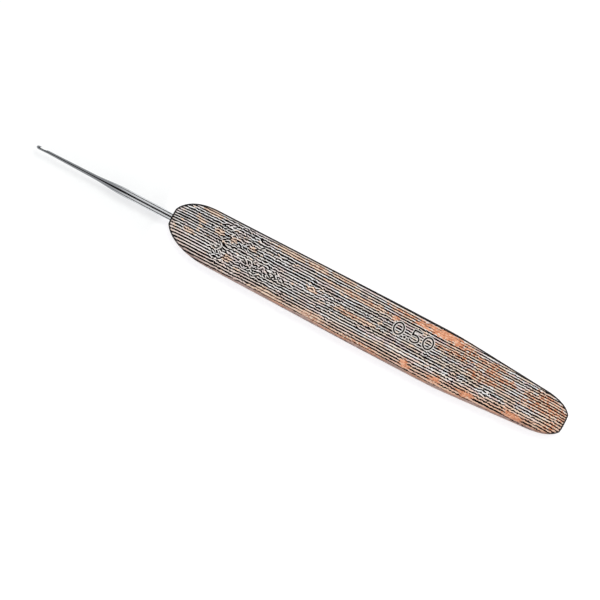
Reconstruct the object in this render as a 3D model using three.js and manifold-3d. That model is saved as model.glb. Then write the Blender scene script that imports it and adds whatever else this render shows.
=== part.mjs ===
// A dreadlock crochet hook: a fine steel hook whose plain shank is glued into a bore in a flat wooden handle.
//
// All sizes are in millimetres. X runs along the tool from the hook's tip to the handle's butt, Y across the
// flat of the handle, towards the side on which the throat opens, and Z up. The origin is under the middle of
// the tool, on the surface that the handle's flat underside lies on.
import * as THREE from "three";
import { mergeVertices } from "three/addons/utils/BufferGeometryUtils.js";
import Module from "manifold-3d";

// The handle: its length, its thickness, and its widths at the nose, at its fullest and at the butt. The first
// and the last are the widths that the ends would have if their corners were left square.
const handleLength = 100;
const handleThickness = 8;
const noseWidth = 12.5;
const fullestWidth = 13.2;
const buttWidth = 8.8;

// The handle swells over the first of these lengths. Its taper to the butt starts at the second, measured from
// the nose too, and the third is how far before and after that the corner between the two is eased.
const swellLength = 58;
const taperStart = 70;
const taperEasing = 4;

// The long edges are rounded with quarter ellipses, which leave the top, the underside and the sides flat.
const edgeRoundingWidth = 3.2;
const edgeRoundingHeight = 3;

// Each end is rounded over a length, down to a small flat face. A squareness of 2 rounds with an ellipse, and
// a larger one leaves fuller corners. The nose face is a rim round the bore, and the butt's face is given by
// its edge's distance from the axis. The handle is shaped by hand, and its nose is fuller on the side of the
// throat than on the far side.
const noseOnThroatSide = { length: 9, squareness: 2.2, rim: 0.95 };
const noseOnFarSide = { length: 12, squareness: 2, rim: 0.35 };
const noseInHeight = { length: 6.5, squareness: 2.2, rim: 0.65 };
const buttInPlan = { length: 7.5, squareness: 2.5, face: 2.2 };
const buttInHeight = { length: 4, squareness: 2.4, face: 2.3 };

// The steel outside the handle, from the tip: the head up to its lip, the throat, a neck that thickens slowly,
// a flare and the plain shank, which goes on into the handle.
const headLength = 1.15;
const throatLength = 1.65;
const neckLength = 11;
const flareLength = 9.4;
const bareShankLength = 11.2;
const buriedShankLength = 25;

// The hook's size is the thickness of the steel that is left under the throat, and the head is as thick as
// that and the throat's depth.
const hookSize = 0.5;
const throatDepth = 0.34;
const neckDiameter = 0.72;
const neckBackDiameter = 1.05;
const shankDiameter = 2.1;
const shankChamfer = 0.35;

// The details of the head and the throat.
const tipRoundingLength = 0.6;
const lipUndercut = 0.3;
const lipBluntness = 0.05;
const throatCornerRadius = 0.14;

// The glue: its thickness round the shank, the cushion of it under the shank's end, and how far it stops
// short of the nose face.
const glueThickness = 0.2;
const glueCushion = 1.2;
const glueRecess = 0.5;
const drillPointAngle = 118;

// What is left free between the steel, the cured glue and the wood, so that their faces never cross.
const seatClearance = 0.03;

// How finely the curves are cut.
const roundSegments = 32;
const edgeSteps = 9;
const noseRings = 16;
const bodyRings = 14;
const buttRings = 13;
const tipSteps = 8;
const flareSteps = 12;
const throatCurveSteps = 8;

// What follows from the sizes above.
const throatEnd = headLength + throatLength;
const flareStart = throatEnd + neckLength;
const flareEnd = flareStart + flareLength;
const exposedLength = flareEnd + bareShankLength;
const hookLength = exposedLength + buriedShankLength;
const overallLength = exposedLength + handleLength;
const headRadius = (hookSize + throatDepth) / 2;
const neckRadius = neckDiameter / 2;
const shankRadius = shankDiameter / 2;
const boreRadius = shankRadius + glueThickness;
const boreDepth = buriedShankLength + glueCushion;
const drillPointSlope = Math.tan(THREE.MathUtils.degToRad(90 - drillPointAngle / 2));

// A section that is smaller than its own roundings keeps this much flat, so that no two of its points meet.
const leastFlat = 0.1;

const wasm = await Module();
wasm.setup();

function solidFrom(geometry) {
  const bare = geometry.clone();
  bare.deleteAttribute("normal");
  bare.deleteAttribute("uv");
  const merged = mergeVertices(bare, 1e-5);
  return new wasm.Manifold(
    new wasm.Mesh({
      numProp: 3,
      vertProperties: new Float32Array(merged.attributes.position.array),
      triVerts: new Uint32Array(merged.index.array),
    }),
  );
}

function geometryFrom(solid) {
  const { vertProperties, triVerts } = solid.getMesh();
  const shared = new THREE.BufferGeometry();
  shared.setAttribute("position", new THREE.BufferAttribute(vertProperties, 3));
  shared.setIndex(new THREE.BufferAttribute(triVerts, 1));
  const faceted = shared.toNonIndexed();
  faceted.computeVertexNormals();
  return faceted;
}

function cut(geometry, cutter) {
  return geometryFrom(solidFrom(geometry).subtract(solidFrom(cutter)));
}

// Evenly spread shares from 0 to 1, both included.
function shares(steps) {
  return Array.from({ length: steps + 1 }, (_, step) => step / steps);
}

// A body turned about the X axis, from a profile of [distance along X, radius] pairs that starts and ends on
// the axis.
function turned(profile) {
  const points = profile.map(([along, radius]) => new THREE.Vector2(radius, along));
  return new THREE.LatheGeometry(points, roundSegments).rotateZ(-Math.PI / 2);
}

// A closed body through rings of equally many points, each anticlockwise seen from +X, with flat ends.
function lofted(rings) {
  const count = rings[0].length;
  const lastRing = (rings.length - 1) * count;
  const startMiddle = rings.length * count;
  const endMiddle = startMiddle + 1;
  const faces = [];
  for (let i = 0; i < count; i++) {
    const next = (i + 1) % count;
    for (let ring = 0; ring < lastRing; ring += count) {
      faces.push(ring + i, ring + next, ring + next + count);
      faces.push(ring + i, ring + next + count, ring + i + count);
    }
    faces.push(startMiddle, next, i);
    faces.push(endMiddle, lastRing + i, lastRing + next);
  }
  const points = [...rings.flat(), middleOf(rings[0]), middleOf(rings.at(-1))];
  return new THREE.BufferGeometry().setFromPoints(points).setIndex(faces);
}

function middleOf(ring) {
  return ring.reduce((sum, point) => sum.add(point), new THREE.Vector3()).divideScalar(ring.length);
}

// The share of its full half-size that a rounded end has at a distance from its flat face. The rounding is a
// superellipse, which starts at the face's edge and reaches the full size at the rounding's length.
function roundedShare(distance, fullHalfSize, { length, squareness }, face) {
  const across = (along) => (1 - (1 - along) ** squareness) ** (1 / squareness);
  const faceAt = 1 - (1 - (face / fullHalfSize) ** squareness) ** (1 / squareness);
  return across(THREE.MathUtils.lerp(faceAt, 1, Math.min(distance / length, 1)));
}

function noseShare(x, fullHalfSize, rounding) {
  return roundedShare(x, fullHalfSize, rounding, boreRadius + rounding.rim);
}

function buttShare(x, fullHalfSize, rounding) {
  return roundedShare(handleLength - x, fullHalfSize, rounding, rounding.face);
}

// The handle's width at a distance from the nose face, without the rounding of its ends.
function bodyWidth(x) {
  const swell = THREE.MathUtils.smoothstep(x, 0, swellLength);
  const slope = (fullestWidth - buttWidth) / (handleLength - taperStart);
  const past = x - taperStart;
  const eased = (past + taperEasing) ** 2 / (4 * taperEasing);
  const run = Math.abs(past) < taperEasing ? eased : Math.max(past, 0);
  return THREE.MathUtils.lerp(noseWidth, fullestWidth, swell) - slope * run;
}

function halfWidth(x, noseOnThisSide) {
  const atNose = noseShare(x, noseWidth / 2, noseOnThisSide);
  const atButt = buttShare(x, buttWidth / 2, buttInPlan);
  return (bodyWidth(x) / 2) * atNose * atButt;
}

function halfHeight(x) {
  const full = handleThickness / 2;
  return full * noseShare(x, full, noseInHeight) * buttShare(x, full, buttInHeight);
}

// The handle's section at a distance from the nose face: a rectangle with quarter ellipses for corners.
function handleSection(x) {
  const throatSide = halfWidth(x, noseOnThroatSide);
  const farSide = halfWidth(x, noseOnFarSide);
  const height = halfHeight(x);
  const corners = [
    { width: throatSide, sideY: 1, sideZ: 1 },
    { width: farSide, sideY: -1, sideZ: 1 },
    { width: farSide, sideY: -1, sideZ: -1 },
    { width: throatSide, sideY: 1, sideZ: -1 },
  ];
  return corners.flatMap(({ width, sideY, sideZ }, quarter) => {
    const roundingWidth = Math.min(edgeRoundingWidth, width - leastFlat);
    const roundingHeight = Math.min(edgeRoundingHeight, height - leastFlat);
    return shares(edgeSteps).map((share) => {
      const angle = (quarter + share) * (Math.PI / 2);
      const y = sideY * (width - roundingWidth) + roundingWidth * Math.cos(angle);
      const z = sideZ * (height - roundingHeight) + roundingHeight * Math.sin(angle);
      return new THREE.Vector3(x, y, z);
    });
  });
}

// Distances from the nose face at which the handle has a section: close together where the ends close in, and
// evenly spread between them.
function handleStations() {
  const closing = (share) => 1 - Math.cos(share * (Math.PI / 2));
  const noseLength = Math.max(noseOnThroatSide.length, noseOnFarSide.length);
  const bodyEnd = handleLength - buttInPlan.length;
  const atNose = shares(noseRings).map((share) => noseLength * closing(share));
  const atBody = shares(bodyRings).map((share) => THREE.MathUtils.lerp(noseLength, bodyEnd, share));
  const atButt = shares(buttRings).map((share) => handleLength - buttInPlan.length * closing(1 - share));
  return [...atNose, ...atBody.slice(1, -1), ...atButt];
}

// The drilled hole: it starts in front of the nose face and ends in the cone that a twist drill leaves.
function bore() {
  return turned([
    [-boreRadius, 0],
    [-boreRadius, boreRadius],
    [boreDepth, boreRadius],
    [boreDepth + boreRadius * drillPointSlope, 0],
  ]);
}

function handle() {
  return cut(lofted(handleStations().map(handleSection)), bore());
}

// The steel as a lathe or grinder leaves it, from the tip: a rounded point, the head, a neck that thickens
// slowly, a flare, and the plain shank with its chamfered end.
function hookProfile() {
  const tip = shares(tipSteps).map((share) => {
    const angle = share * (Math.PI / 2);
    return [tipRoundingLength * (1 - Math.cos(angle)), headRadius * Math.sin(angle)];
  });
  const flare = shares(flareSteps).map((share) => {
    const swell = THREE.MathUtils.smoothstep(share, 0, 1);
    const diameter = THREE.MathUtils.lerp(neckBackDiameter, shankDiameter, swell);
    return [THREE.MathUtils.lerp(flareStart, flareEnd, share), diameter / 2];
  });
  return [
    ...tip,
    [headLength, headRadius],
    [throatEnd, neckRadius],
    ...flare,
    [hookLength - shankChamfer, shankRadius],
    [hookLength, shankRadius - shankChamfer],
    [hookLength, 0],
  ];
}

// What is ground away for the throat, as seen from above: in under the lip, round a small corner to the
// throat's floor, and up a long ramp to the back of the neck.
function throatCutter() {
  const clearOfSteel = 2 * headRadius;
  const lip = headRadius - lipBluntness;
  const floor = headRadius - throatDepth;
  const corner = Math.min(throatCornerRadius, (lip - floor) / 2);
  const pocket = headLength - lipUndercut;
  const rampFoot = THREE.MathUtils.lerp(headLength, throatEnd, 1 / 3);
  const rampMiddle = THREE.MathUtils.lerp(rampFoot, throatEnd, 1 / 2);
  const outline = new THREE.Shape();
  outline.moveTo(headLength, clearOfSteel);
  outline.lineTo(headLength, lip);
  outline.lineTo(pocket, floor + corner);
  outline.quadraticCurveTo(pocket, floor, pocket + corner, floor);
  outline.lineTo(rampFoot, floor);
  outline.quadraticCurveTo(rampMiddle, floor, throatEnd, neckRadius);
  outline.lineTo(throatEnd, clearOfSteel);
  outline.closePath();
  const extent = { depth: 2 * clearOfSteel, bevelEnabled: false, curveSegments: throatCurveSteps };
  return new THREE.ExtrudeGeometry(outline, extent).translate(0, 0, -clearOfSteel);
}

function crochetHook() {
  return cut(turned(hookProfile()), throatCutter()).translate(-exposedLength, 0, 0);
}

// The cured glue: a cup round the buried shank, which fills the drill point behind the shank's end.
function glueSleeve() {
  const outer = boreRadius - seatClearance;
  const inner = shankRadius + seatClearance;
  const cupFloor = buriedShankLength + seatClearance;
  const cupEnd = boreDepth - seatClearance;
  return turned([
    [cupFloor, 0],
    [cupFloor, inner],
    [glueRecess, inner],
    [glueRecess, outer],
    [cupEnd, outer],
    [cupEnd + outer * drillPointSlope, 0],
  ]);
}

function piece(name, geometry, finish) {
  const mesh = new THREE.Mesh(geometry, new THREE.MeshStandardMaterial(finish));
  mesh.name = name;
  return mesh;
}

// The pieces lie along the bore's axis, with the nose face at 0.
const tool = new THREE.Group();
tool.name = "dreadlock_crochet_hook";
tool.add(
  piece("handle", handle(), { color: 0x96826f, roughness: 0.55, metalness: 0 }),
  piece("crochet_hook", crochetHook(), { color: 0xc9cbce, roughness: 0.22, metalness: 1 }),
  piece("glue_sleeve", glueSleeve(), { color: 0xd9c389, roughness: 0.35, metalness: 0 }),
);
tool.position.set(exposedLength - overallLength / 2, 0, handleThickness / 2);

export default tool;
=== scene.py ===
# Looks of a dreadlock crochet hook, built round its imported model: a finely meshed handle of wood with dark
# lines, a polished steel hook and a trace of glue. Lengths are in metres unless a comment says otherwise,
# and MM turns millimetres into them.
import math

import bpy
import numpy as np
from mathutils import Matrix, Vector


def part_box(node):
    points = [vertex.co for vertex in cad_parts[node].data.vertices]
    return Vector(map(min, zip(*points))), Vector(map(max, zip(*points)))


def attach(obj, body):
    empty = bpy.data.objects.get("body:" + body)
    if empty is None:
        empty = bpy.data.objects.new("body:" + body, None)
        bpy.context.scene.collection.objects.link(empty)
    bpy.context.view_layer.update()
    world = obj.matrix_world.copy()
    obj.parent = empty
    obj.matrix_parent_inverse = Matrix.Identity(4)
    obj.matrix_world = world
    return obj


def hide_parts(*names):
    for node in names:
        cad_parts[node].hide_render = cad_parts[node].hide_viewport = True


MM = 0.001
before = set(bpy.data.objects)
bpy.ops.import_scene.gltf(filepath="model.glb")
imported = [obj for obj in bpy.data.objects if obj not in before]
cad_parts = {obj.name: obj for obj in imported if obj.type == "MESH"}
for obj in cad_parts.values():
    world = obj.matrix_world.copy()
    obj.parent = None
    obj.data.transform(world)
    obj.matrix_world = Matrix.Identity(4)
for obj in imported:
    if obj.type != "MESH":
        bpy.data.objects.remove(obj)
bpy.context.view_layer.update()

# The places that everything else is worked out from.
HANDLE_LOW, HANDLE_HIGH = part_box("handle")
HOOK_LOW, HOOK_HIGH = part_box("crochet_hook")
SLEEVE_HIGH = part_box("glue_sleeve")[1]
NOSE_X = HANDLE_LOW.x
AXIS_Z = (HANDLE_LOW.z + HANDLE_HIGH.z) / 2
HANDLE_LENGTH = HANDLE_HIGH.x - NOSE_X
HALF_THICKNESS = HANDLE_HIGH.z - AXIS_Z
FULLEST_WIDTH = HANDLE_HIGH.y - HANDLE_LOW.y
SEAT_CLEARANCE = 0.03 * MM
BORE_SPARE_DEPTH = 1.2 * MM
BORE_CHAMFER = 0.08 * MM
BORE_RADIUS = SLEEVE_HIGH.y + SEAT_CLEARANCE
BORE_DEPTH = HOOK_HIGH.x - NOSE_X + BORE_SPARE_DEPTH
DRILL_POINT_ANGLE = 118
DRILL_POINT_DEPTH = BORE_RADIUS / math.tan(math.radians(DRILL_POINT_ANGLE / 2))

# The handle's form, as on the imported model.
NOSE_WIDTH = 12.5 * MM
BUTT_WIDTH = 8.8 * MM
SWELL_LENGTH = 58 * MM
TAPER_START = 70 * MM
TAPER_EASING = 4 * MM
EDGE_ROUNDING_WIDTH = 3.2 * MM
EDGE_ROUNDING_HEIGHT = 3 * MM
LEAST_FLAT = 0.1 * MM
NOSE_ON_THROAT_SIDE = dict(length=9 * MM, squareness=2.2, face=BORE_RADIUS + 0.95 * MM)
NOSE_ON_FAR_SIDE = dict(length=12 * MM, squareness=2.0, face=BORE_RADIUS + 0.35 * MM)
NOSE_IN_HEIGHT = dict(length=6.5 * MM, squareness=2.2, face=BORE_RADIUS + 0.65 * MM)
BUTT_IN_PLAN = dict(length=7.5 * MM, squareness=2.5, face=2.2 * MM)
BUTT_IN_HEIGHT = dict(length=4 * MM, squareness=2.4, face=2.3 * MM)

# How finely the handle is meshed.
NOSE_RINGS = 30
BUTT_RINGS = 22
BODY_STEP = 0.5 * MM
NUMBER_STEP = 0.15 * MM
CORNER_STEPS = 44
FLAT_STEPS = 62
SIDE_STEPS = 16
CAP_RINGS = 6

# The grain: dark lines in shallow grooves. Their layers are nearly upright in the wood down to a height on
# its sides, bend over below it, and stray from straight in long waves (drift) and in short ones (ripple). A
# groove has its full depth up to the first of its edges, counted from a line's middle in shares of the
# spacing, and ends at the second.
LINE_SPACING = 0.6 * MM
LINE_TILT = math.radians(4)
BEND_TOP = 1.5 * MM
BEND_SLOPE = 0.8
DRIFT = dict(size=0.5 * MM, length=36 * MM, breadth=6 * MM, seed=(0, 4))
RIPPLE = dict(size=0.11 * MM, length=3.4 * MM, breadth=2.2 * MM, seed=(7, 0))
GROOVE_DEPTH = 0.04 * MM
GROOVE_EDGES = (0.12, 0.3)

# The engraved number: where it starts, its baseline, the size of its digits and strokes, and how far from a
# stroke's middle its wall starts and ends. It is cut only where the skin faces up by more than this share,
# and a point elsewhere counts as far off.
NUMBER = "0.50"
NUMBER_START = 55.8 * MM
NUMBER_BASELINE = 0.35 * MM
DIGIT_WIDTH = 2.3 * MM
DIGIT_HEIGHT = 2.7 * MM
DIGIT_GAP = 0.85 * MM
STROKE_WIDTH = 0.5 * MM
STROKE_DEPTH = 0.16 * MM
STROKE_EDGES = (0.3 * STROKE_WIDTH, 0.62 * STROKE_WIDTH)
RING_POINTS = 33
BOWL_POINTS = 22
LEAST_FACING_UP = 0.9
FAR_OFF = 1.0

# Patches of the wood: the distance from the nose, the distance across from the axis, half the length and
# half the breadth, in millimetres, and an amount from 0 to 1. In a reddish patch the amount says how far the
# dark lines fade, in a tangled one how far they lose their direction, and in a pale or dark streak how far
# they fade or broaden. All fade out from well inside their borders to well outside, at these shares of the
# half sizes, and the borders waver.
PATCH_EDGES = (0.3, 1.7)
PATCH_BORDER_WAVES = dict(size=0.7, length=1.6 * MM, breadth=0.45 * MM)
RED_PATCHES = [
    (8.0, 5.6, 2.6, 0.8, 0.35),
    (5.2, -0.8, 1.2, 0.5, 0.3),
    (6.6, 2.7, 1.3, 0.5, 0.3),
    (11.4, 2.2, 1.2, 0.8, 0.45),
    (15.0, 1.8, 0.9, 0.6, 0.5),
    (19.6, 2.1, 0.8, 0.6, 0.45),
    (15.0, -2.2, 1.1, 0.9, 0.35),
    (28.0, 5.3, 4.6, 0.8, 0.3),
    (34.5, 5.4, 3.0, 0.8, 0.5),
    (41.5, 5.6, 3.5, 0.5, 0.2),
    (46.5, 3.6, 8.5, 0.6, 0.35),
    (35.8, 0.2, 1.4, 0.7, 0.4),
    (47.5, -0.7, 6.0, 0.6, 0.2),
    (55.0, 3.3, 1.2, 0.7, 0.8),
    (56.5, 5.3, 3.5, 0.7, 0.2),
    (67.0, 5.15, 7.0, 1.15, 1.0),
    (70.5, 2.4, 4.5, 0.9, 0.1),
    (79.0, 0.4, 4.5, 1.0, 0.1),
    (79.0, 4.1, 6.0, 0.6, 0.3),
    (80.9, 2.4, 5.0, 0.8, 0.25),
    (95.0, 1.4, 6.5, 2.2, 0.12),
    (97.5, -2.0, 2.0, 1.4, 0.12),
    (27.0, -5.3, 4.2, 0.8, 0.5),
    (37.5, -5.2, 4.0, 0.9, 0.7),
    (49.5, -5.8, 7.5, 0.7, 0.5),
    (61.7, -4.8, 1.4, 1.0, 1.0),
    (69.6, -4.8, 1.8, 0.9, 0.95),
    (77.0, -4.5, 2.4, 0.9, 1.0),
    (88.8, -3.9, 2.8, 0.9, 1.0),
]
TANGLED_PATCHES = [
    (23.5, -1.4, 7.0, 2.0, 0.7),
    (17.5, 2.6, 7.5, 3.0, 0.5),
    (13.5, -1.0, 2.5, 3.6, 0.6),
    (36.5, 0.8, 3.0, 1.6, 0.4),
    (50.0, -2.0, 5.0, 0.8, 0.3),
    (80.0, -2.6, 16.0, 2.0, 0.3),
    (78.0, 4.4, 9.0, 0.8, 0.25),
]
PALE_STREAKS = [
    (58.5, -2.9, 8.5, 0.5, 0.9),
    (76.0, -2.95, 14.0, 0.45, 0.6),
    (92.0, -2.6, 6.0, 0.45, 0.9),
    (73.0, -4.6, 17.0, 1.2, 0.5),
    (6.5, -3.4, 6.0, 1.4, 0.5),
    (15.0, -4.2, 7.0, 1.0, 0.4),
    (15.0, 4.3, 14.0, 0.5, 0.3),
    (43.0, -4.3, 6.0, 1.0, 0.5),
    (79.0, 2.0, 14.0, 0.5, 0.45),
    (81.0, 4.4, 10.0, 0.6, 0.4),
]
DARK_STREAKS = [
    (63.0, -1.4, 33.0, 0.6, 1.0),
    (59.0, 0.4, 15.0, 0.35, 1.0),
    (26.0, -1.8, 6.0, 0.5, 0.6),
]


# A smooth rise from 0 at the low value to 1 at the high one, and the fall that mirrors it.
def rising(value, low, high):
    share = np.clip((value - low) / (high - low), 0, 1)
    return share * share * (3 - 2 * share)


def falling(value, low, high):
    return 1 - rising(value, low, high)


# Repeatable random numbers from 0 to 1, one for each pair of whole numbers.
def scatter(i, j):
    return np.mod(np.sin(i * 127.1 + j * 311.7) * 43758.5453, 1)


# Smooth noise from 0 to 1 that changes over one unit of either coordinate.
def noise(u, v):
    i, j = np.floor(u), np.floor(v)
    a, b = rising(u - i, 0, 1), rising(v - j, 0, 1)
    low = scatter(i, j) * (1 - a) + scatter(i + 1, j) * a
    high = scatter(i, j + 1) * (1 - a) + scatter(i + 1, j + 1) * a
    return low * (1 - b) + high * b


# The handle's form.
def rounded_share(distance, full, length, squareness, face):
    face_at = 1 - (1 - (face / full) ** squareness) ** (1 / squareness)
    along = face_at + (1 - face_at) * np.clip(distance / length, 0, 1)
    return (1 - (1 - along) ** squareness) ** (1 / squareness)


def half_width(x, nose_on_this_side):
    slope = (FULLEST_WIDTH - BUTT_WIDTH) / (HANDLE_LENGTH - TAPER_START)
    past = x - TAPER_START
    eased = (past + TAPER_EASING) ** 2 / (4 * TAPER_EASING)
    run = np.where(abs(past) < TAPER_EASING, eased, np.maximum(past, 0))
    width = NOSE_WIDTH + (FULLEST_WIDTH - NOSE_WIDTH) * rising(x, 0, SWELL_LENGTH) - slope * run
    at_nose = rounded_share(x, NOSE_WIDTH / 2, **nose_on_this_side)
    return width / 2 * at_nose * rounded_share(HANDLE_LENGTH - x, BUTT_WIDTH / 2, **BUTT_IN_PLAN)


def half_height(x):
    at_nose = rounded_share(x, HALF_THICKNESS, **NOSE_IN_HEIGHT)
    return HALF_THICKNESS * at_nose * rounded_share(HANDLE_LENGTH - x, HALF_THICKNESS, **BUTT_IN_HEIGHT)


# Distances from the nose at which the handle has a ring of points: close together where its ends close in
# and under the engraved number.
def handle_stations():
    number_end = NUMBER_START + len(NUMBER) * (DIGIT_WIDTH + DIGIT_GAP)
    nose_end = NOSE_ON_FAR_SIDE["length"]
    butt_start = HANDLE_LENGTH - BUTT_IN_PLAN["length"]
    at_nose = nose_end * (1 - np.cos(np.linspace(0, math.pi / 2, NOSE_RINGS)))
    at_butt = HANDLE_LENGTH - BUTT_IN_PLAN["length"] * (1 - np.cos(np.linspace(math.pi / 2, 0, BUTT_RINGS)))
    runs = [at_nose]
    for start, end, step in (
        (nose_end, NUMBER_START - DIGIT_GAP, BODY_STEP),
        (NUMBER_START - DIGIT_GAP, number_end, NUMBER_STEP),
        (number_end, butt_start, BODY_STEP),
    ):
        runs.append(np.linspace(start, end, math.ceil((end - start) / step) + 1)[1:])
    return np.concatenate(runs + [at_butt[1:]])


# The way round a section, starting at the throat side's flat: for each point the angle on its corner's
# ellipse, and the corner's place from -1 to 1 across and up. On a flat the place moves and the angle stays.
def way_round():
    quarter = math.pi / 2
    corners = [(1, 1), (-1, 1), (-1, -1), (1, -1)]
    angles, across, up = [], [], []
    for i, (y, z) in enumerate(corners):
        next_y, next_z = corners[(i + 1) % 4]
        turn = np.arange(CORNER_STEPS) / CORNER_STEPS
        flat_steps = FLAT_STEPS if next_z == z else SIDE_STEPS
        slide = np.arange(flat_steps) / flat_steps
        angles += [(i + turn) * quarter, np.full(flat_steps, (i + 1) * quarter)]
        across += [np.full(CORNER_STEPS, y), y + (next_y - y) * slide]
        up += [np.full(CORNER_STEPS, z), z + (next_z - z) * slide]
    return np.concatenate(angles), np.concatenate(across), np.concatenate(up)


def handle_skin():
    x = handle_stations()[:, None]
    angle, across, up = (part[None, :] for part in way_round())
    throat_side = half_width(x, NOSE_ON_THROAT_SIDE)
    far_side = half_width(x, NOSE_ON_FAR_SIDE)
    height = half_height(x)
    throat_rounding = np.minimum(EDGE_ROUNDING_WIDTH, throat_side - LEAST_FLAT)
    far_rounding = np.minimum(EDGE_ROUNDING_WIDTH, far_side - LEAST_FLAT)
    rounding_height = np.minimum(EDGE_ROUNDING_HEIGHT, height - LEAST_FLAT)
    throat_centre = (1 + across) / 2 * (throat_side - throat_rounding)
    far_centre = (1 - across) / 2 * (far_side - far_rounding)
    rounding = np.where(np.cos(angle) > 0, throat_rounding, far_rounding)
    y = throat_centre - far_centre + rounding * np.cos(angle)
    z = up * (height - rounding_height) + rounding_height * np.sin(angle)
    return np.stack([x + 0 * y, y, z], axis=-1)


def outward_normals(skin):
    along = np.gradient(skin, axis=0)
    around = np.roll(skin, -1, axis=1) - np.roll(skin, 1, axis=1)
    normals = np.cross(around, along)
    return normals / np.linalg.norm(normals, axis=-1, keepdims=True)


# How far inside the handle's outline, seen from above, each point of the skin is.
def inset_from_outline(x, y):
    inset = np.minimum(x, HANDLE_LENGTH - x)
    for nose, side in ((NOSE_ON_THROAT_SIDE, 1), (NOSE_ON_FAR_SIDE, -1)):
        width = half_width(x, nose)
        slope = np.gradient(width[:, 0], x[:, 0])[:, None]
        inset = np.minimum(inset, (width - side * y) / np.hypot(1, slope))
    return inset


# Noise about 0 with waves of a length and breadth, which could reach half their size to either side.
def waves(x, y, size, length, breadth, seed=(0, 0)):
    return size * (noise(x / length + seed[0], y / breadth + seed[1]) - 0.5)


# The wood, as fields through the solid. Each takes distances from the nose, across and up, in metres.
def grain_layers(x, y, z):
    drift, ripple = waves(x, y, **DRIFT), waves(x, y, **RIPPLE)
    bend = BEND_SLOPE * np.maximum(BEND_TOP - z, 0)
    return (y * math.cos(LINE_TILT) - z * math.sin(LINE_TILT) + bend + drift + ripple) / LINE_SPACING


# The patches' amount at a place: none well outside them, half at their borders and all of it well inside.
def inside(patches, x, y):
    share = np.zeros(np.broadcast(x, y).shape)
    wobble = waves(x, y, **PATCH_BORDER_WAVES)
    for px, py, half_length, half_breadth, amount in patches:
        away = np.hypot((x / MM - px) / half_length, (y / MM - py) / half_breadth) + wobble
        share = np.maximum(share, amount * falling(away, *PATCH_EDGES))
    return share


# The strokes of the digits 0 and 5 and of the point, as lines of points in a box one digit wide and high.
def strokes(sign):
    if sign == "0":
        turn = np.linspace(0, 2 * math.pi, RING_POINTS)
        return [np.stack([0.5 + 0.5 * np.sin(turn), 0.5 + 0.5 * np.cos(turn)], -1)]
    if sign == "5":
        bowl = np.radians(np.linspace(128, -140, BOWL_POINTS))
        curve = np.stack([0.42 + 0.5 * np.cos(bowl), 0.31 + 0.31 * np.sin(bowl)], -1)
        return [np.array([(0.9, 1.0), (0.16, 1.0), (0.11, 0.55)]), curve]
    return [np.array([(-0.5, 0.03), (0.5, 0.03), (0.5, 0.09), (-0.5, 0.09), (-0.5, 0.03)])]


def distance_to_number(x, y):
    nearest = np.full(np.broadcast(x, y).shape, FAR_OFF)
    start = NUMBER_START
    for sign in NUMBER:
        width = STROKE_WIDTH / 2 if sign == "." else DIGIT_WIDTH
        for line in strokes(sign):
            px = start + line[:, 0] * width
            py = NUMBER_BASELINE + line[:, 1] * DIGIT_HEIGHT
            for ax, ay, bx, by in zip(px[:-1], py[:-1], px[1:], py[1:]):
                run = (bx - ax) ** 2 + (by - ay) ** 2
                along = np.clip(((x - ax) * (bx - ax) + (y - ay) * (by - ay)) / run, 0, 1)
                away = np.hypot(x - ax - along * (bx - ax), y - ay - along * (by - ay))
                nearest = np.minimum(nearest, away)
        start += width + DIGIT_GAP
    return nearest


def make_mesh_object(name, points, faces):
    mesh = bpy.data.meshes.new(name)
    mesh.from_pydata(points.tolist(), [], faces)
    mesh.validate()
    mesh.update()
    obj = bpy.data.objects.new(name, mesh)
    bpy.context.scene.collection.objects.link(obj)
    return obj


# Quads between rings of equally many points, with a fan to the single point at each end.
def ring_faces(ring_count, around):
    faces = []
    for ring in range(ring_count - 1):
        low = ring * around
        for i in range(around):
            j = (i + 1) % around
            faces.append((low + i, low + j, low + around + j, low + around + i))
    first, last = ring_count * around, ring_count * around + 1
    top = (ring_count - 1) * around
    for i in range(around):
        j = (i + 1) % around
        faces.append((first, j, i))
        faces.append((last, top + i, top + j))
    return faces


# Rings that lead from the drill's point up the bore and over the nose face, towards the skin's first ring.
def bore_rings(first):
    angle = np.arctan2(first[:, 2], first[:, 1])
    circle = np.stack([0 * angle, np.cos(angle), np.sin(angle)], -1)
    rings = [circle * BORE_RADIUS + (BORE_DEPTH, 0, 0), circle * BORE_RADIUS + (BORE_CHAMFER, 0, 0)]
    mouth = circle * (BORE_RADIUS + BORE_CHAMFER)
    for share in (0, 0.5):
        rings.append(mouth + (first - mouth) * share)
    return rings


# How deep the grooves of the grain and the engraved strokes are sunk into the skin.
def sunk_depth(x, y, z, off_stroke):
    layer = grain_layers(x, y, z)
    off_line = abs(layer - np.round(layer))
    faded = np.maximum(inside(RED_PATCHES, x, y), inside(TANGLED_PATCHES, x, y))
    groove = GROOVE_DEPTH * (1 - faded) * falling(off_line, *GROOVE_EDGES)
    engraved = falling(off_stroke, *STROKE_EDGES)
    return np.maximum(groove * (1 - engraved), STROKE_DEPTH * engraved)


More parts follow.
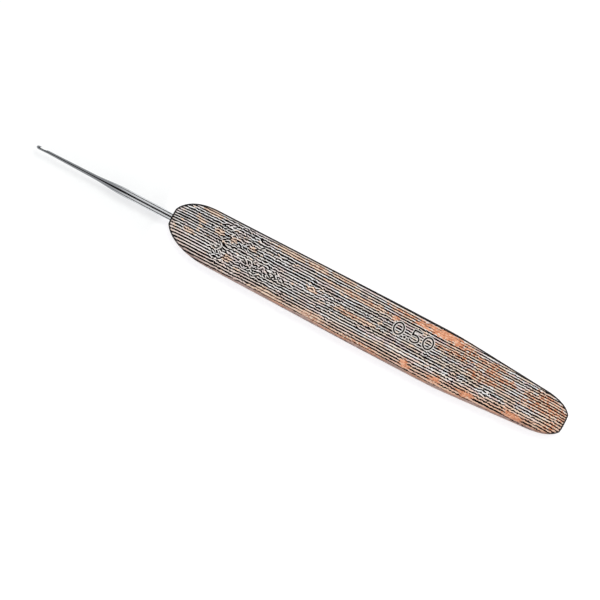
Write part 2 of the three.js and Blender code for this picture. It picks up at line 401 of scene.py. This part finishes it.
def make_handle():
    skin = handle_skin()
    normals = outward_normals(skin)
    x, y, z = skin[..., 0], skin[..., 1], skin[..., 2]
    on_top = normals[..., 2] > LEAST_FACING_UP
    off_stroke = np.where(on_top, distance_to_number(x, y), FAR_OFF)
    surface = skin - normals * sunk_depth(x, y, z, off_stroke)[..., None]

    bore = np.stack(bore_rings(surface[0]))
    cap = [surface[-1] * (1, share, share) for share in np.linspace(1, 0, CAP_RINGS + 1)[1:-1]]
    rings = np.concatenate([bore, surface, np.stack(cap)])
    ends = [(BORE_DEPTH + DRILL_POINT_DEPTH, 0, 0), (HANDLE_LENGTH, 0, 0)]
    points = np.concatenate([rings.reshape(-1, 3), ends])
    obj = make_mesh_object("wooden_handle", points + (NOSE_X, 0, AXIS_Z), ring_faces(*rings.shape[:2]))

    save_solid_fields(obj, points)
    save_skin_fields(obj, skin, normals, off_stroke, bore[..., 0].size)
    return obj


# The fields that run through the solid wood: the grain's layers and the patches.
def save_solid_fields(obj, points):
    x, y, z = points.T
    save_field(obj, "layer", grain_layers(x, y, z))
    save_field(obj, "red", inside([patch[:4] + (1,) for patch in RED_PATCHES], x, y))
    save_field(obj, "faded", inside(RED_PATCHES, x, y))
    save_field(obj, "tangled", inside(TANGLED_PATCHES, x, y))
    save_field(obj, "pale", inside(PALE_STREAKS, x, y))
    save_field(obj, "dark_streak", inside(DARK_STREAKS, x, y))


# The fields of the skin: nearness to an engraved stroke, a dark line along the edge as seen from above,
# which is painted shade, and a paler band inside it, which is a painted highlight, a warm band along the
# far side's edge, and the upper half of the far side itself, which is the lower side of the picture. Both
# painted lines leave that side out. The dark line starts at a wavering height. The constants say where a
# field starts to change and where the change ends: by how far the skin faces sideways or up, from -1 to 1,
# or by a distance.
OFF_FAR_SIDE = (-0.96, -0.75)
DARK_RIM_LOWEST, DARK_RIM_WAVER, DARK_RIM_FADE = 0.02, 0.12, 0.08
DARK_RIM_WAVER_LENGTH, DARK_RIM_SEED = 6 * MM, 3.0
DARK_RIM_INSET = (0.28 * MM, 0.5 * MM)
PALE_RIM_RISE, PALE_RIM_FALL = (0.5, 0.57), (0.67, 0.75)
WARM_EDGE_RISE, WARM_EDGE_FALL = (0.0, 0.7 * MM), (1.8 * MM, 3.6 * MM)
LOWER_SIDE_RISE = (0.1 * MM, 0.9 * MM)


def save_skin_fields(obj, skin, normals, off_stroke, start):
    x, y, z = skin[..., 0], skin[..., 1], skin[..., 2]
    facing_side, facing_up = normals[..., 1], normals[..., 2]
    off_far_side = rising(facing_side, *OFF_FAR_SIDE)
    rim_low = DARK_RIM_LOWEST + DARK_RIM_WAVER * noise(x / DARK_RIM_WAVER_LENGTH, DARK_RIM_SEED)
    at_edge = falling(inset_from_outline(x, y), *DARK_RIM_INSET)
    # Painted shade: a dark line along the edge as seen from above.
    painted_edge_shade = rising(facing_up, rim_low, rim_low + DARK_RIM_FADE) * at_edge * off_far_side
    # Painted highlight: a paler band inside the dark line, where the grain lines fade.
    painted_edge_light = rising(facing_up, *PALE_RIM_RISE) * falling(facing_up, *PALE_RIM_FALL) * off_far_side
    from_far_side = half_width(x, NOSE_ON_FAR_SIDE) + y
    warm_edge = rising(from_far_side, *WARM_EDGE_RISE) * falling(from_far_side, *WARM_EDGE_FALL)
    save_field(obj, "engraved", np.clip(1 - off_stroke / STROKE_WIDTH, 0, 1), start)
    save_field(obj, "painted_edge_shade", painted_edge_shade, start)
    save_field(obj, "painted_edge_light", painted_edge_light, start)
    save_field(obj, "warm_edge", warm_edge, start)
    # The lower side: smooth red wood, which the material covers partly with painted shade.
    save_field(obj, "lower_side", -facing_side * rising(z, *LOWER_SIDE_RISE), start)


# Saves a number for each of the object's points from the start on, and 0 for every other.
def save_field(obj, name, values, start=0):
    everywhere = np.zeros(len(obj.data.vertices), np.float32)
    everywhere[start : start + values.size] = values.ravel()
    attribute = obj.data.attributes.new(name, "FLOAT", "POINT")
    attribute.data.foreach_set("value", everywhere)


def shade_smooth(obj, sharp_angle):
    obj.data.polygons.foreach_set("use_smooth", [True] * len(obj.data.polygons))
    obj.data.set_sharp_from_angle(angle=math.radians(sharp_angle))


# The steel hook. It is made in millimetres along X with its tip at 0, so that the boolean and the bevel
# work on numbers near 1, and then put in place.
HEAD_LENGTH = 1.15
THROAT_LENGTH = 1.65
NECK_LENGTH = 11
FLARE_LENGTH = 9.4
HOOK_SIZE = 0.5
THROAT_DEPTH = 0.34
NECK_DIAMETER = 0.72
NECK_BACK_DIAMETER = 1.05
SHANK_CHAMFER = 0.35
TIP_ROUNDING_LENGTH = 0.6
LIP_UNDERCUT = 0.3
LIP_EDGE = 0.05
THROAT_CORNER_RADIUS = 0.14
EDGE_BEVEL = 0.02
HOOK_SEGMENTS = 96
TIP_STEPS = 16
HEAD_STEPS = 6
THROAT_STEPS = 12
NECK_STEPS = 20
FLARE_STEPS = 24
POCKET_POINTS = 9
THROAT_FLOOR_POINTS = 15


# Distances from the tip and radii along the hook's outline.
def hook_profile():
    head = (HOOK_SIZE + THROAT_DEPTH) / 2
    shank = (HOOK_HIGH.y - HOOK_LOW.y) / MM / 2
    length = (HOOK_HIGH.x - HOOK_LOW.x) / MM
    turn = np.linspace(0, math.pi / 2, TIP_STEPS + 1)[1:]
    profile = [(TIP_ROUNDING_LENGTH * (1 - math.cos(angle)), head * math.sin(angle)) for angle in turn]
    for stretch, next_radius, steps in (
        (HEAD_LENGTH - TIP_ROUNDING_LENGTH, head, HEAD_STEPS),
        (THROAT_LENGTH, NECK_DIAMETER / 2, THROAT_STEPS),
        (NECK_LENGTH, NECK_BACK_DIAMETER / 2, NECK_STEPS),
    ):
        start, radius = profile[-1]
        for share in np.linspace(0, 1, steps + 1)[1:]:
            profile.append((start + stretch * share, radius + (next_radius - radius) * share))
    start, radius = profile[-1]
    for share in np.linspace(0, 1, FLARE_STEPS + 1)[1:]:
        profile.append((start + FLARE_LENGTH * share, radius + (shank - radius) * rising(share, 0, 1)))
    profile.append((length - SHANK_CHAMFER, shank))
    profile.append((length, shank - SHANK_CHAMFER))
    return profile


def make_hook_blank():
    profile = np.array(hook_profile())
    angle = np.arange(HOOK_SEGMENTS) / HOOK_SEGMENTS * 2 * math.pi
    x = profile[:, :1] + 0 * angle
    rings = np.stack([x, profile[:, 1:] * np.cos(angle), profile[:, 1:] * np.sin(angle)], -1)
    ends = [(0, 0, 0), (profile[-1, 0], 0, 0)]
    points = np.concatenate([rings.reshape(-1, 3), ends])
    return make_mesh_object("steel_hook", points, ring_faces(len(profile), HOOK_SEGMENTS))


# A cutter with the throat's outline: straight down at the head, back under its lip, and a floor that rises
# slowly to the neck.
def make_throat_cutter():
    head_radius = (HOOK_SIZE + THROAT_DEPTH) / 2
    floor = head_radius - THROAT_DEPTH
    clear = 2 * head_radius
    lip = head_radius - LIP_EDGE
    pocket = HEAD_LENGTH - LIP_UNDERCUT
    end = HEAD_LENGTH + THROAT_LENGTH
    foot = HEAD_LENGTH + THROAT_LENGTH / 3
    r = THROAT_CORNER_RADIUS
    outline = [(HEAD_LENGTH, clear), (HEAD_LENGTH, lip)]
    for angle in np.linspace(math.pi, 1.5 * math.pi, POCKET_POINTS):
        outline.append((pocket + r + r * math.cos(angle), floor + r + r * math.sin(angle)))
    for share in np.linspace(0, 1, THROAT_FLOOR_POINTS):
        outline.append((foot + (end - foot) * share, floor + (NECK_DIAMETER / 2 - floor) * share**2))
    outline.append((end, clear))
    count = len(outline)
    points = np.array([(x, y, z) for z in (-clear, clear) for x, y in outline])
    faces = [tuple(range(count - 1, -1, -1)), tuple(range(count, 2 * count))]
    for i in range(count):
        j = (i + 1) % count
        faces.append((i, j, count + j, count + i))
    return make_mesh_object("throat_cutter", points, faces)


def apply_modifiers(obj):
    evaluated = obj.evaluated_get(bpy.context.evaluated_depsgraph_get())
    mesh = bpy.data.meshes.new_from_object(evaluated)
    obj.modifiers.clear()
    obj.data = mesh
    mesh.name = obj.name


def make_hook():
    hook = make_hook_blank()
    cutter = make_throat_cutter()
    cut = hook.modifiers.new("throat", "BOOLEAN")
    cut.operation = "DIFFERENCE"
    cut.solver = "EXACT"
    cut.object = cutter
    bevel = hook.modifiers.new("polished_edges", "BEVEL")
    bevel.width = EDGE_BEVEL
    bevel.segments = 3
    bevel.limit_method = "ANGLE"
    bevel.angle_limit = math.radians(35)
    apply_modifiers(hook)
    bpy.data.objects.remove(cutter)
    hook.data.transform(Matrix.Translation((HOOK_LOW.x, 0, AXIS_Z)) @ Matrix.Scale(MM, 4))
    return hook


# Materials. Colours are given by their sRGB values out of 255, and the shaders take them as linear ones.
def linear(value):
    return ((value / 255 + 0.055) / 1.055) ** 2.4 if value > 10 else value / 255 / 12.92


def colour(red, green, blue):
    return linear(red), linear(green), linear(blue), 1.0


# A pair of colours is the two ends that a noise mixes.
CREAM = colour(242, 238, 234), colour(255, 255, 255)
CREAM_FIBRE = colour(204, 192, 182)
PINK = colour(236, 204, 200)
TAN = colour(236, 196, 160), colour(248, 224, 190)
WARM_EDGE = colour(240, 186, 150)
PEACH = colour(246, 218, 194)
RED = colour(212, 134, 97), colour(248, 186, 150)
RED_FIBRE = colour(160, 100, 68)
BROWN = colour(172, 142, 124), colour(226, 200, 182)
# Painted shade on the lower side: a mauve over the red wood.
PAINTED_SHADE_MAUVE = colour(150, 122, 116), colour(218, 194, 188)
SIDE_FLECK = colour(122, 84, 68)
DARK_LINE = colour(5, 4, 3), colour(18, 14, 12)
DARK_LINE_IN_RED = colour(52, 24, 13)
# Painted shade: the dark line along the edge as seen from above.
PAINTED_EDGE_SHADE = colour(4, 3, 3), colour(16, 12, 10)
STROKE_BORDER = colour(236, 230, 223)
STROKE_FLOOR = colour(20, 16, 13)
# The neck's darker steel is a painted dark reflection.
NECK_STEEL_PAINTED_DARK = colour(138, 140, 144), colour(176, 178, 181)
SHANK_STEEL = colour(212, 214, 217), colour(240, 241, 243)
GLUE = colour(196, 160, 92), colour(232, 208, 150)

# How fine the noises are: cycles per metre along, across and up.
MOTTLE_SCALE = (420, 1500, 1500)
FIBRE_SCALE = (700, 5200, 5200)
GRIT_SCALE = (2400, 3600, 3600)
RED_BORDER_SCALE = (1400, 3200, 3200)
FLECK_SCALE = (520, 1000, 1000)
TANGLE_SCALE = (110, 300, 300)
STROKE_CELL_SCALE = (1250, 1750, 1750)
WAVER_SCALE = (900, 1500, 1500)
BREADTH_SCALE = (450, 3600, 3600)
PINK_SCALE = (330, 800, 800)
TAN_SCALE = (260, 900, 900)
MAUVE_SCALE = (200, 500, 500)
SIDE_FLECK_SCALE = (900, 1500, 1500)
REDNESS_SCALE = (1700, 2900, 2900)
STEEL_MARK_SCALE = (300, 9000, 9000)
GLUE_CLOUD_SCALE = (900, 900, 900)

# The stretches of the tool on which its looks change.
ALONG_HANDLE = (NOSE_X + 5 * MM, NOSE_X + 85 * MM)
ALONG_NOSE = (NOSE_X + 8 * MM, NOSE_X + 30 * MM)
WHERE_RED_GROWS = (NOSE_X + 25 * MM, NOSE_X + 62 * MM)
WHERE_STEEL_PALES = (NOSE_X - 16 * MM, NOSE_X - 8 * MM)
WHERE_STEEL_ROUGHENS = (NOSE_X - 16 * MM, NOSE_X - 9 * MM)


class Nodes:
    """A node tree, with short ways to add nodes and links."""

    def __init__(self, tree):
        self.tree = tree
        self.shader = tree.nodes.get("Principled BSDF")

    def add(self, kind, **settings):
        node = self.tree.nodes.new(kind)
        for key, value in settings.items():
            setattr(node, key, value)
        return node

    def link(self, source, target):
        self.tree.links.new(source, target)

    def put(self, value, socket):
        if isinstance(value, bpy.types.NodeSocket):
            self.link(value, socket)
        else:
            socket.default_value = value

    def math(self, operation, *values):
        node = self.add("ShaderNodeMath", operation=operation)
        for value, socket in zip(values, node.inputs):
            self.put(value, socket)
        return node.outputs[0]

    def plus(self, first, *others):
        for other in others:
            first = self.math("ADD", first, other)
        return first

    def times(self, first, *others):
        for other in others:
            first = self.math("MULTIPLY", first, other)
        return first

    def most(self, first, *others):
        for other in others:
            first = self.math("MAXIMUM", first, other)
        return first

    def spread(self, value, from_low, from_high, to_low=0.0, to_high=1.0):
        """A smooth change from one number to another while the value goes through its range."""
        node = self.add("ShaderNodeMapRange", interpolation_type="SMOOTHSTEP")
        for given, socket in zip((value, from_low, from_high, to_low, to_high), node.inputs):
            self.put(given, socket)
        return node.outputs[0]

    def mix(self, share, first, second):
        node = self.add("ShaderNodeMix", data_type="RGBA")
        self.put(share, node.inputs["Factor"])
        colours = [socket for socket in node.inputs if socket.type == "RGBA"]
        self.put(first, colours[0])
        self.put(second, colours[1])
        return [socket for socket in node.outputs if socket.type == "RGBA"][0]

    def field(self, name):
        return self.add("ShaderNodeAttribute", attribute_name=name).outputs["Fac"]

    def one_each(self, number):
        """One random value for each whole number."""
        node = self.add("ShaderNodeTexWhiteNoise", noise_dimensions="1D")
        self.link(number, node.inputs["W"])
        return node.outputs["Value"]

    def parts(self, vector):
        node = self.add("ShaderNodeSeparateXYZ")
        self.link(vector, node.inputs[0])
        return node.outputs["X"], node.outputs["Y"], node.outputs["Z"]

    def place(self):
        """The place in the object's own space."""
        return self.add("ShaderNodeTexCoord").outputs["Object"]

    def scaled_place(self, scale):
        mapping = self.add("ShaderNodeMapping")
        mapping.inputs["Scale"].default_value = scale
        self.link(self.place(), mapping.inputs["Vector"])
        return mapping.outputs[0]

    def noise(self, scale, detail=2.0):
        node = self.add("ShaderNodeTexNoise")
        node.inputs["Scale"].default_value = 1.0
        node.inputs["Detail"].default_value = detail
        self.link(self.scaled_place(scale), node.inputs["Vector"])
        return node.outputs["Fac"]

    def wobble(self, scale, amount, detail=2.0):
        """Noise about 0 that could reach half the amount to either side."""
        return self.times(self.plus(self.noise(scale, detail), -0.5), amount)

    def cells(self, scale):
        """Cells of uneven shape: distances along and across from a cell's middle, and two random values."""
        place = self.scaled_place(scale)
        node = self.add("ShaderNodeTexVoronoi")
        node.inputs["Scale"].default_value = 1.0
        self.link(place, node.inputs["Vector"])
        away = self.add("ShaderNodeVectorMath", operation="SUBTRACT")
        self.link(place, away.inputs[0])
        self.link(node.outputs["Position"], away.inputs[1])
        along, across, _ = self.parts(away.outputs[0])
        values = self.add("ShaderNodeSeparateColor")
        self.link(node.outputs["Color"], values.inputs[0])
        return self.times(along, 1 / scale[0]), self.times(across, 1 / scale[1]), *values.outputs[:2]

    def bump(self, height, distance, strength):
        node = self.add("ShaderNodeBump")
        node.inputs["Strength"].default_value = strength
        node.inputs["Distance"].default_value = distance
        self.link(height, node.inputs["Height"])
        self.link(node.outputs["Normal"], self.shader.inputs["Normal"])

    def shade(self, kind, tint, strength=None):
        """A diffuse, emission or background shader."""
        node = self.add(kind)
        node.inputs["Color"].default_value = tint
        if strength is not None:
            self.put(strength, node.inputs["Strength"])
        return node.outputs[0]

    def choose(self, share, first, second):
        """The first shader where the share is 0 and the second where it is 1."""
        node = self.add("ShaderNodeMixShader")
        for given, socket in zip((share, first, second), node.inputs):
            self.link(given, socket)
        return node.outputs[0]


def new_material(name):
    material = bpy.data.materials.new(name)
    material.use_nodes = True
    return material, Nodes(material.node_tree)


def set_material(obj, material):
    obj.data.materials.clear()
    obj.data.materials.append(material)


# What several parts of the wood's look share: its noises, how far along the handle a place is, and where the
# wood is red, flecked, faded, tangled or part of the smooth lower side. All are between 0 and 1.
class WoodShares:
    def __init__(self, n):
        x = n.parts(n.place())[0]
        red = n.plus(n.field("red"), n.wobble(RED_BORDER_SCALE, 2.2))
        slight_tangle = n.spread(n.noise(TANGLE_SCALE), 0.42, 0.64, 0.0, 0.28)
        lower_side = n.plus(n.field("lower_side"), n.wobble(MOTTLE_SCALE, 0.25))
        self.mottle = n.noise(MOTTLE_SCALE, detail=3)
        self.fibre = n.noise(FIBRE_SCALE, detail=3)
        self.grit = n.spread(n.noise(GRIT_SCALE, detail=1), 0.35, 0.65)
        self.far = n.spread(x, *ALONG_HANDLE)
        self.past_nose = n.spread(x, *ALONG_NOSE)
        self.red_growth = n.spread(x, *WHERE_RED_GROWS, 0.25, 1.0)
        self.red = n.spread(red, 0.4, 0.6)
        self.flecks = n.spread(n.noise(FLECK_SCALE), 0.6, 0.66)
        self.faded = n.most(n.times(self.red, n.field("faded")), n.times(self.flecks, 0.35))
        self.tangled = n.most(n.field("tangled"), slight_tangle)
        self.lower_side = n.spread(lower_side, 0.69, 0.86, 0.0, 0.95)


# The grain's layers as a number that is whole in the middle of each dark line. Where the grain is tangled,
# the lines break into short strokes that are turned and shifted, each cell of strokes by its own amount.
def broken_lines(n, tangled):
    along, across, one, other = n.cells(STROKE_CELL_SCALE)
    turn = n.times(n.plus(one, -0.5), tangled, 2.6)
    turned = n.plus(
        n.times(along, n.math("SINE", turn)),
        n.times(across, n.plus(n.math("COSINE", turn), -1.0)),
    )
    bent = n.plus(n.field("layer"), n.wobble(WAVER_SCALE, 0.28), n.times(turned, 1 / LINE_SPACING))
    return n.plus(bent, n.times(n.plus(other, -0.5), tangled, 0.7))


# Where the wood is dark: on the lines. Each line has its own breadth. They fade where the wood is red or
# pale, along the lower side and in the painted highlight inside the edge, and broaden near the nose, where
# they are tangled and in the dark streaks.
def dark_share(n, shares, lines):
    wave = n.math("COSINE", n.times(lines, 2 * math.pi))
    speckle = n.times(n.wobble(GRIT_SCALE, 1.0, detail=1), n.plus(shares.far, 0.45))
    height = n.plus(wave, n.wobble(BREADTH_SCALE, 0.8), speckle)
    fading = n.most(
        n.times(shares.faded, 1.7),
        n.times(shares.lower_side, n.plus(n.times(shares.past_nose, 0.9), 0.6)),
        n.times(n.field("pale"), 0.7),
        # The painted highlight band inside the edge fades the lines there.
        n.times(n.field("painted_edge_light"), 0.6),
    )
    own_breadth = n.times(n.plus(n.one_each(n.math("FLOOR", n.plus(lines, 0.5))), -0.5), -0.55)
    towards_nose = n.times(n.plus(shares.far, -1.0), 0.08)
    at_nose = n.times(n.plus(shares.past_nose, -1.0), 0.13)
    broadening = n.plus(n.times(shares.tangled, -0.12), n.times(n.field("dark_streak"), -0.4))
    threshold = n.plus(own_breadth, fading, n.plus(towards_nose, at_nose), broadening, -0.36)
    return n.spread(n.math("SUBTRACT", height, threshold), -0.12, 0.12)


# The pale wood between the lines, with soft tints that grow towards the butt.
def pale_wood(n, shares, lines):
    pink = n.times(n.spread(n.noise(PINK_SCALE), 0.5, 0.62), n.plus(n.times(shares.far, 0.5), 0.35))
    tan = n.spread(n.noise(TAN_SCALE, detail=3), 0.44, 0.58)
    tan = n.times(tan, n.plus(n.times(shares.far, 0.45), 0.12))
    warm_edge = n.times(n.field("warm_edge"), n.plus(n.times(shares.far, 0.4), 0.3))
    wood = n.mix(n.one_each(n.math("FLOOR", lines)), *CREAM)
    wood = n.mix(n.spread(shares.fibre, 0.45, 0.75, 0.0, 0.25), wood, CREAM_FIBRE)
    wood = n.mix(pink, wood, PINK)
    wood = n.mix(tan, wood, n.mix(shares.mottle, *TAN))
    wood = n.mix(warm_edge, wood, WARM_EDGE)
    return n.mix(n.most(shares.red, shares.flecks), wood, PEACH)


# The smooth lower side: red wood under an uneven mauve, which is painted shade, with brown flecks. The
# painted shade hides most of the red near the nose and where the side is steepest.
def side_wood(n, shares, red):
    mauve_shade = n.most(
        n.spread(n.noise(MAUVE_SCALE), 0.42, 0.56, 0.2, 0.9),
        n.times(n.plus(shares.past_nose, -1.0), -0.8),
        n.spread(n.field("lower_side"), 0.84, 0.96, 0.0, 0.85),
    )
    side = n.mix(mauve_shade, red, n.mix(shares.mottle, *PAINTED_SHADE_MAUVE))
    return n.mix(n.spread(n.noise(SIDE_FLECK_SCALE), 0.42, 0.6, 0.0, 0.45), side, SIDE_FLECK)


# The wood between the lines. Red wood is browner near the nose.
def ground_wood(n, shares, lines):
    brown = n.mix(shares.grit, *BROWN)
    red = n.mix(n.spread(shares.fibre, 0.45, 0.7, 0.0, 0.5), n.mix(shares.grit, *RED), RED_FIBRE)
    red = n.mix(n.plus(n.times(shares.past_nose, 0.75), 0.25), brown, red)
    side = side_wood(n, shares, red)
    top_red = n.mix(shares.red_growth, brown, red)
    redness = n.times(shares.red, n.plus(n.times(shares.far, 0.42), 0.1))
    redness = n.plus(redness, n.times(shares.faded, 0.5), n.wobble(REDNESS_SCALE, 2.1, detail=1))
    ground = n.mix(n.spread(redness, 0.42, 0.72), pale_wood(n, shares, lines), top_red)
    return n.mix(shares.lower_side, ground, side)


def wood_material():
    material, n = new_material("lined_wood")
    shares = WoodShares(n)
    lines = broken_lines(n, shares.tangled)
    dark = dark_share(n, shares, lines)
    line_colour = n.mix(n.times(shares.red, 0.8), n.mix(shares.mottle, *DARK_LINE), DARK_LINE_IN_RED)
    wood = n.mix(dark, ground_wood(n, shares, lines), line_colour)
    # Painted shade: the dark line along the edge as seen from above.
    wood = n.mix(n.field("painted_edge_shade"), wood, n.mix(shares.fibre, *PAINTED_EDGE_SHADE))
    engraved = n.field("engraved")
    wood = n.mix(n.spread(engraved, 0.1, 0.4, 0.0, 0.8), wood, STROKE_BORDER)
    wood = n.mix(n.spread(engraved, 0.58, 0.7), wood, STROKE_FLOOR)
    n.link(wood, n.shader.inputs["Base Color"])
    n.link(n.spread(dark, 0.0, 1.0, 0.5, 0.8), n.shader.inputs["Roughness"])
    n.shader.inputs["Specular IOR Level"].default_value = 0.08
    n.bump(shares.fibre, distance=0.03 * MM, strength=0.6)
    return material


# Polished steel with faint marks along it, darker and smoother on the neck than on the shank. The darker
# colour on the neck is a painted dark reflection.
def steel_material():
    material, n = new_material("polished_steel")
    x = n.parts(n.place())[0]
    marks = n.noise(STEEL_MARK_SCALE, detail=3)
    on_shank = n.spread(x, *WHERE_STEEL_PALES)
    tone = n.mix(on_shank, n.mix(marks, *NECK_STEEL_PAINTED_DARK), n.mix(marks, *SHANK_STEEL))
    roughness = n.spread(x, *WHERE_STEEL_ROUGHENS, 0.08, 0.16)
    roughness = n.plus(roughness, n.spread(marks, 0.3, 0.7, 0.0, 0.06))
    n.link(tone, n.shader.inputs["Base Color"])
    n.link(roughness, n.shader.inputs["Roughness"])
    n.shader.inputs["Metallic"].default_value = 1.0
    n.bump(marks, distance=0.002 * MM, strength=0.5)
    return material


def glue_material():
    material, n = new_material("cured_glue")
    clouds = n.noise(GLUE_CLOUD_SCALE, detail=3)
    n.link(n.mix(clouds, *GLUE), n.shader.inputs["Base Color"])
    n.link(n.spread(clouds, 0.3, 0.7, 0.18, 0.34), n.shader.inputs["Roughness"])
    n.shader.inputs["Coat Weight"].default_value = 0.5
    n.bump(clouds, distance=0.05 * MM, strength=0.5)
    return material


# The floor: a plain pale surface. The camera and reflections see it with a glow that brings it to white.
# The glow is weaker beside the steel, so that the steel keeps a soft shadow, and stronger beside the
# handle, where it is painted light that washes out most of the handle's shadow.
FLOOR_REACH = 2.0
FLOOR_COLOUR = (0.8, 0.8, 0.8, 1.0)
FLOOR_COLOUR_SEEN = (0.62, 0.635, 0.605, 1.0)
FLOOR_GLOW = (0.99, 0.965, 1.015, 1.0)
GLOW_BESIDE_STEEL = 0.405
GLOW_BESIDE_HANDLE = 0.6
WHERE_GLOW_GROWS = (NOSE_X - 4 * MM, NOSE_X)


def make_floor():
    corners = np.array([(-1, -1, 0), (1, -1, 0), (1, 1, 0), (-1, 1, 0)])
    floor = make_mesh_object("floor", FLOOR_REACH * corners, [(0, 1, 2, 3)])
    material, n = new_material("pale_floor")
    n.tree.nodes.clear()
    x = n.parts(n.place())[0]
    # Painted light: the stronger glow beside the handle washes out most of its shadow.
    strength = n.spread(x, *WHERE_GLOW_GROWS, GLOW_BESIDE_STEEL, GLOW_BESIDE_HANDLE)
    glowing = n.add("ShaderNodeAddShader")
    n.link(n.shade("ShaderNodeBsdfDiffuse", FLOOR_COLOUR_SEEN), glowing.inputs[0])
    n.link(n.shade("ShaderNodeEmission", FLOOR_GLOW, strength), glowing.inputs[1])
    path = n.add("ShaderNodeLightPath").outputs
    seen = n.most(path["Is Camera Ray"], path["Is Glossy Ray"], path["Is Transmission Ray"])
    surface = n.choose(seen, n.shade("ShaderNodeBsdfDiffuse", FLOOR_COLOUR), glowing.outputs[0])
    n.link(surface, n.add("ShaderNodeOutputMaterial").inputs["Surface"])
    set_material(floor, material)


# The world: soft light, stronger from above, and white to the camera. In reflections it is a pale room with
# a dark strip overhead, a little broader towards the tip, and a dark band near the horizon on either side.
# The room is bright towards both ends of the tool. The edges are given for a direction of length 1: by its
# part across for the strip and the bands, and by its part along for the two others.
FILL_COLOUR = (0.97, 0.98, 1.0, 1.0)
FILL_BELOW, FILL_ABOVE = 0.58, 0.92
ROOM_COLOUR = (0.8, 0.8, 0.8, 1.0)
STRIP_EDGE = (0.26, 0.48)
STRIP_BROADENING = 0.08
STRIP_BROADENING_EDGE = (-0.1, -0.06)
BAND_EDGE = (0.84, 0.92)
BRIGHT_END_EDGE = (0.4, 0.7)
BRIGHT_END_STRENGTH = 0.9
WHITE = (1.0, 1.0, 1.0, 1.0)


def make_world():
    world = bpy.data.worlds.new("studio")
    bpy.context.scene.world = world
    world.use_nodes = True
    world.node_tree.nodes.clear()
    n = Nodes(world.node_tree)
    along, across, up = n.parts(n.add("ShaderNodeTexCoord").outputs["Generated"])
    broadening = n.spread(along, *STRIP_BROADENING_EDGE, STRIP_BROADENING, 0.0)
    aside = n.math("SUBTRACT", n.math("ABSOLUTE", across), broadening)
    beside_strip = n.times(n.spread(aside, *STRIP_EDGE), n.spread(aside, *BAND_EDGE, 1.0, 0.0))
    at_ends = n.spread(n.math("ABSOLUTE", along), *BRIGHT_END_EDGE, 0.0, BRIGHT_END_STRENGTH)
    fill_strength = n.spread(up, 0.0, 1.0, FILL_BELOW, FILL_ABOVE)
    fill = n.shade("ShaderNodeBackground", FILL_COLOUR, fill_strength)
    room = n.shade("ShaderNodeBackground", ROOM_COLOUR, n.most(beside_strip, at_ends))
    white = n.shade("ShaderNodeBackground", WHITE, 1.0)
    path = n.add("ShaderNodeLightPath").outputs
    unseen = n.choose(path["Is Glossy Ray"], fill, room)
    surface = n.choose(path["Is Camera Ray"], unseen, white)
    n.link(surface, n.add("ShaderNodeOutputWorld").inputs["Surface"])


def aim(obj, target, up):
    back = (obj.location - target).normalized()
    right = up.cross(back).normalized()
    true_up = back.cross(right)
    obj.rotation_euler = Matrix((right, true_up, back)).transposed().to_euler()


def make_lamp(name, direction, distance, size, power):
    lamp = bpy.data.lights.new(name, "AREA")
    lamp.shape = "DISK"
    lamp.size = size
    lamp.energy = power
    obj = bpy.data.objects.new(name, lamp)
    bpy.context.scene.collection.objects.link(obj)
    obj.location = Vector(direction).normalized() * distance
    obj.visible_glossy = False
    aim(obj, Vector((0, 0, 0)), Vector((1, 0, 0)))


# The camera looks straight down on the tool with a long lens, and is turned so that the hook's tip and the
# middle of the butt are at these pixels of the frame.
PIXELS = 600
TIP_PIXEL = Vector((36.8, 146.2))
BUTT_PIXEL = Vector((563.7, 423.7))
LENS = 200.0


def make_camera():
    data = bpy.data.cameras.new("camera")
    data.lens = LENS
    camera = bpy.data.objects.new("camera", data)
    bpy.context.scene.collection.objects.link(camera)
    bpy.context.scene.camera = camera
    span = BUTT_PIXEL - TIP_PIXEL
    right_share, down_share = span.normalized()
    right = Vector((right_share, down_share, 0))
    up = Vector((-down_share, right_share, 0))
    pixel = (HANDLE_HIGH.x - HOOK_LOW.x) / span.length
    middle = (TIP_PIXEL + BUTT_PIXEL) / 2 - Vector((PIXELS / 2, PIXELS / 2))
    tool_middle = Vector(((HANDLE_HIGH.x + HOOK_LOW.x) / 2, 0, AXIS_Z))
    target = tool_middle - right * middle.x * pixel + up * middle.y * pixel
    distance = pixel * PIXELS * LENS / data.sensor_width
    camera.location = target + Vector((0, 0, distance))
    data.clip_start = 0.01
    aim(camera, target, up)


make_camera()
make_world()
make_floor()
make_lamp("key", direction=(0.0, 0.36, 1.0), distance=0.6, size=0.2, power=0.85)

handle = make_handle()
shade_smooth(handle, sharp_angle=60)
set_material(handle, wood_material())
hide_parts("handle")
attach(handle, "root")

hook = make_hook()
shade_smooth(hook, sharp_angle=40)
set_material(hook, steel_material())
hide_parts("crochet_hook")
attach(hook, "root")

set_material(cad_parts["glue_sleeve"], glue_material())

bpy.context.scene.view_settings.view_transform = "Standard"
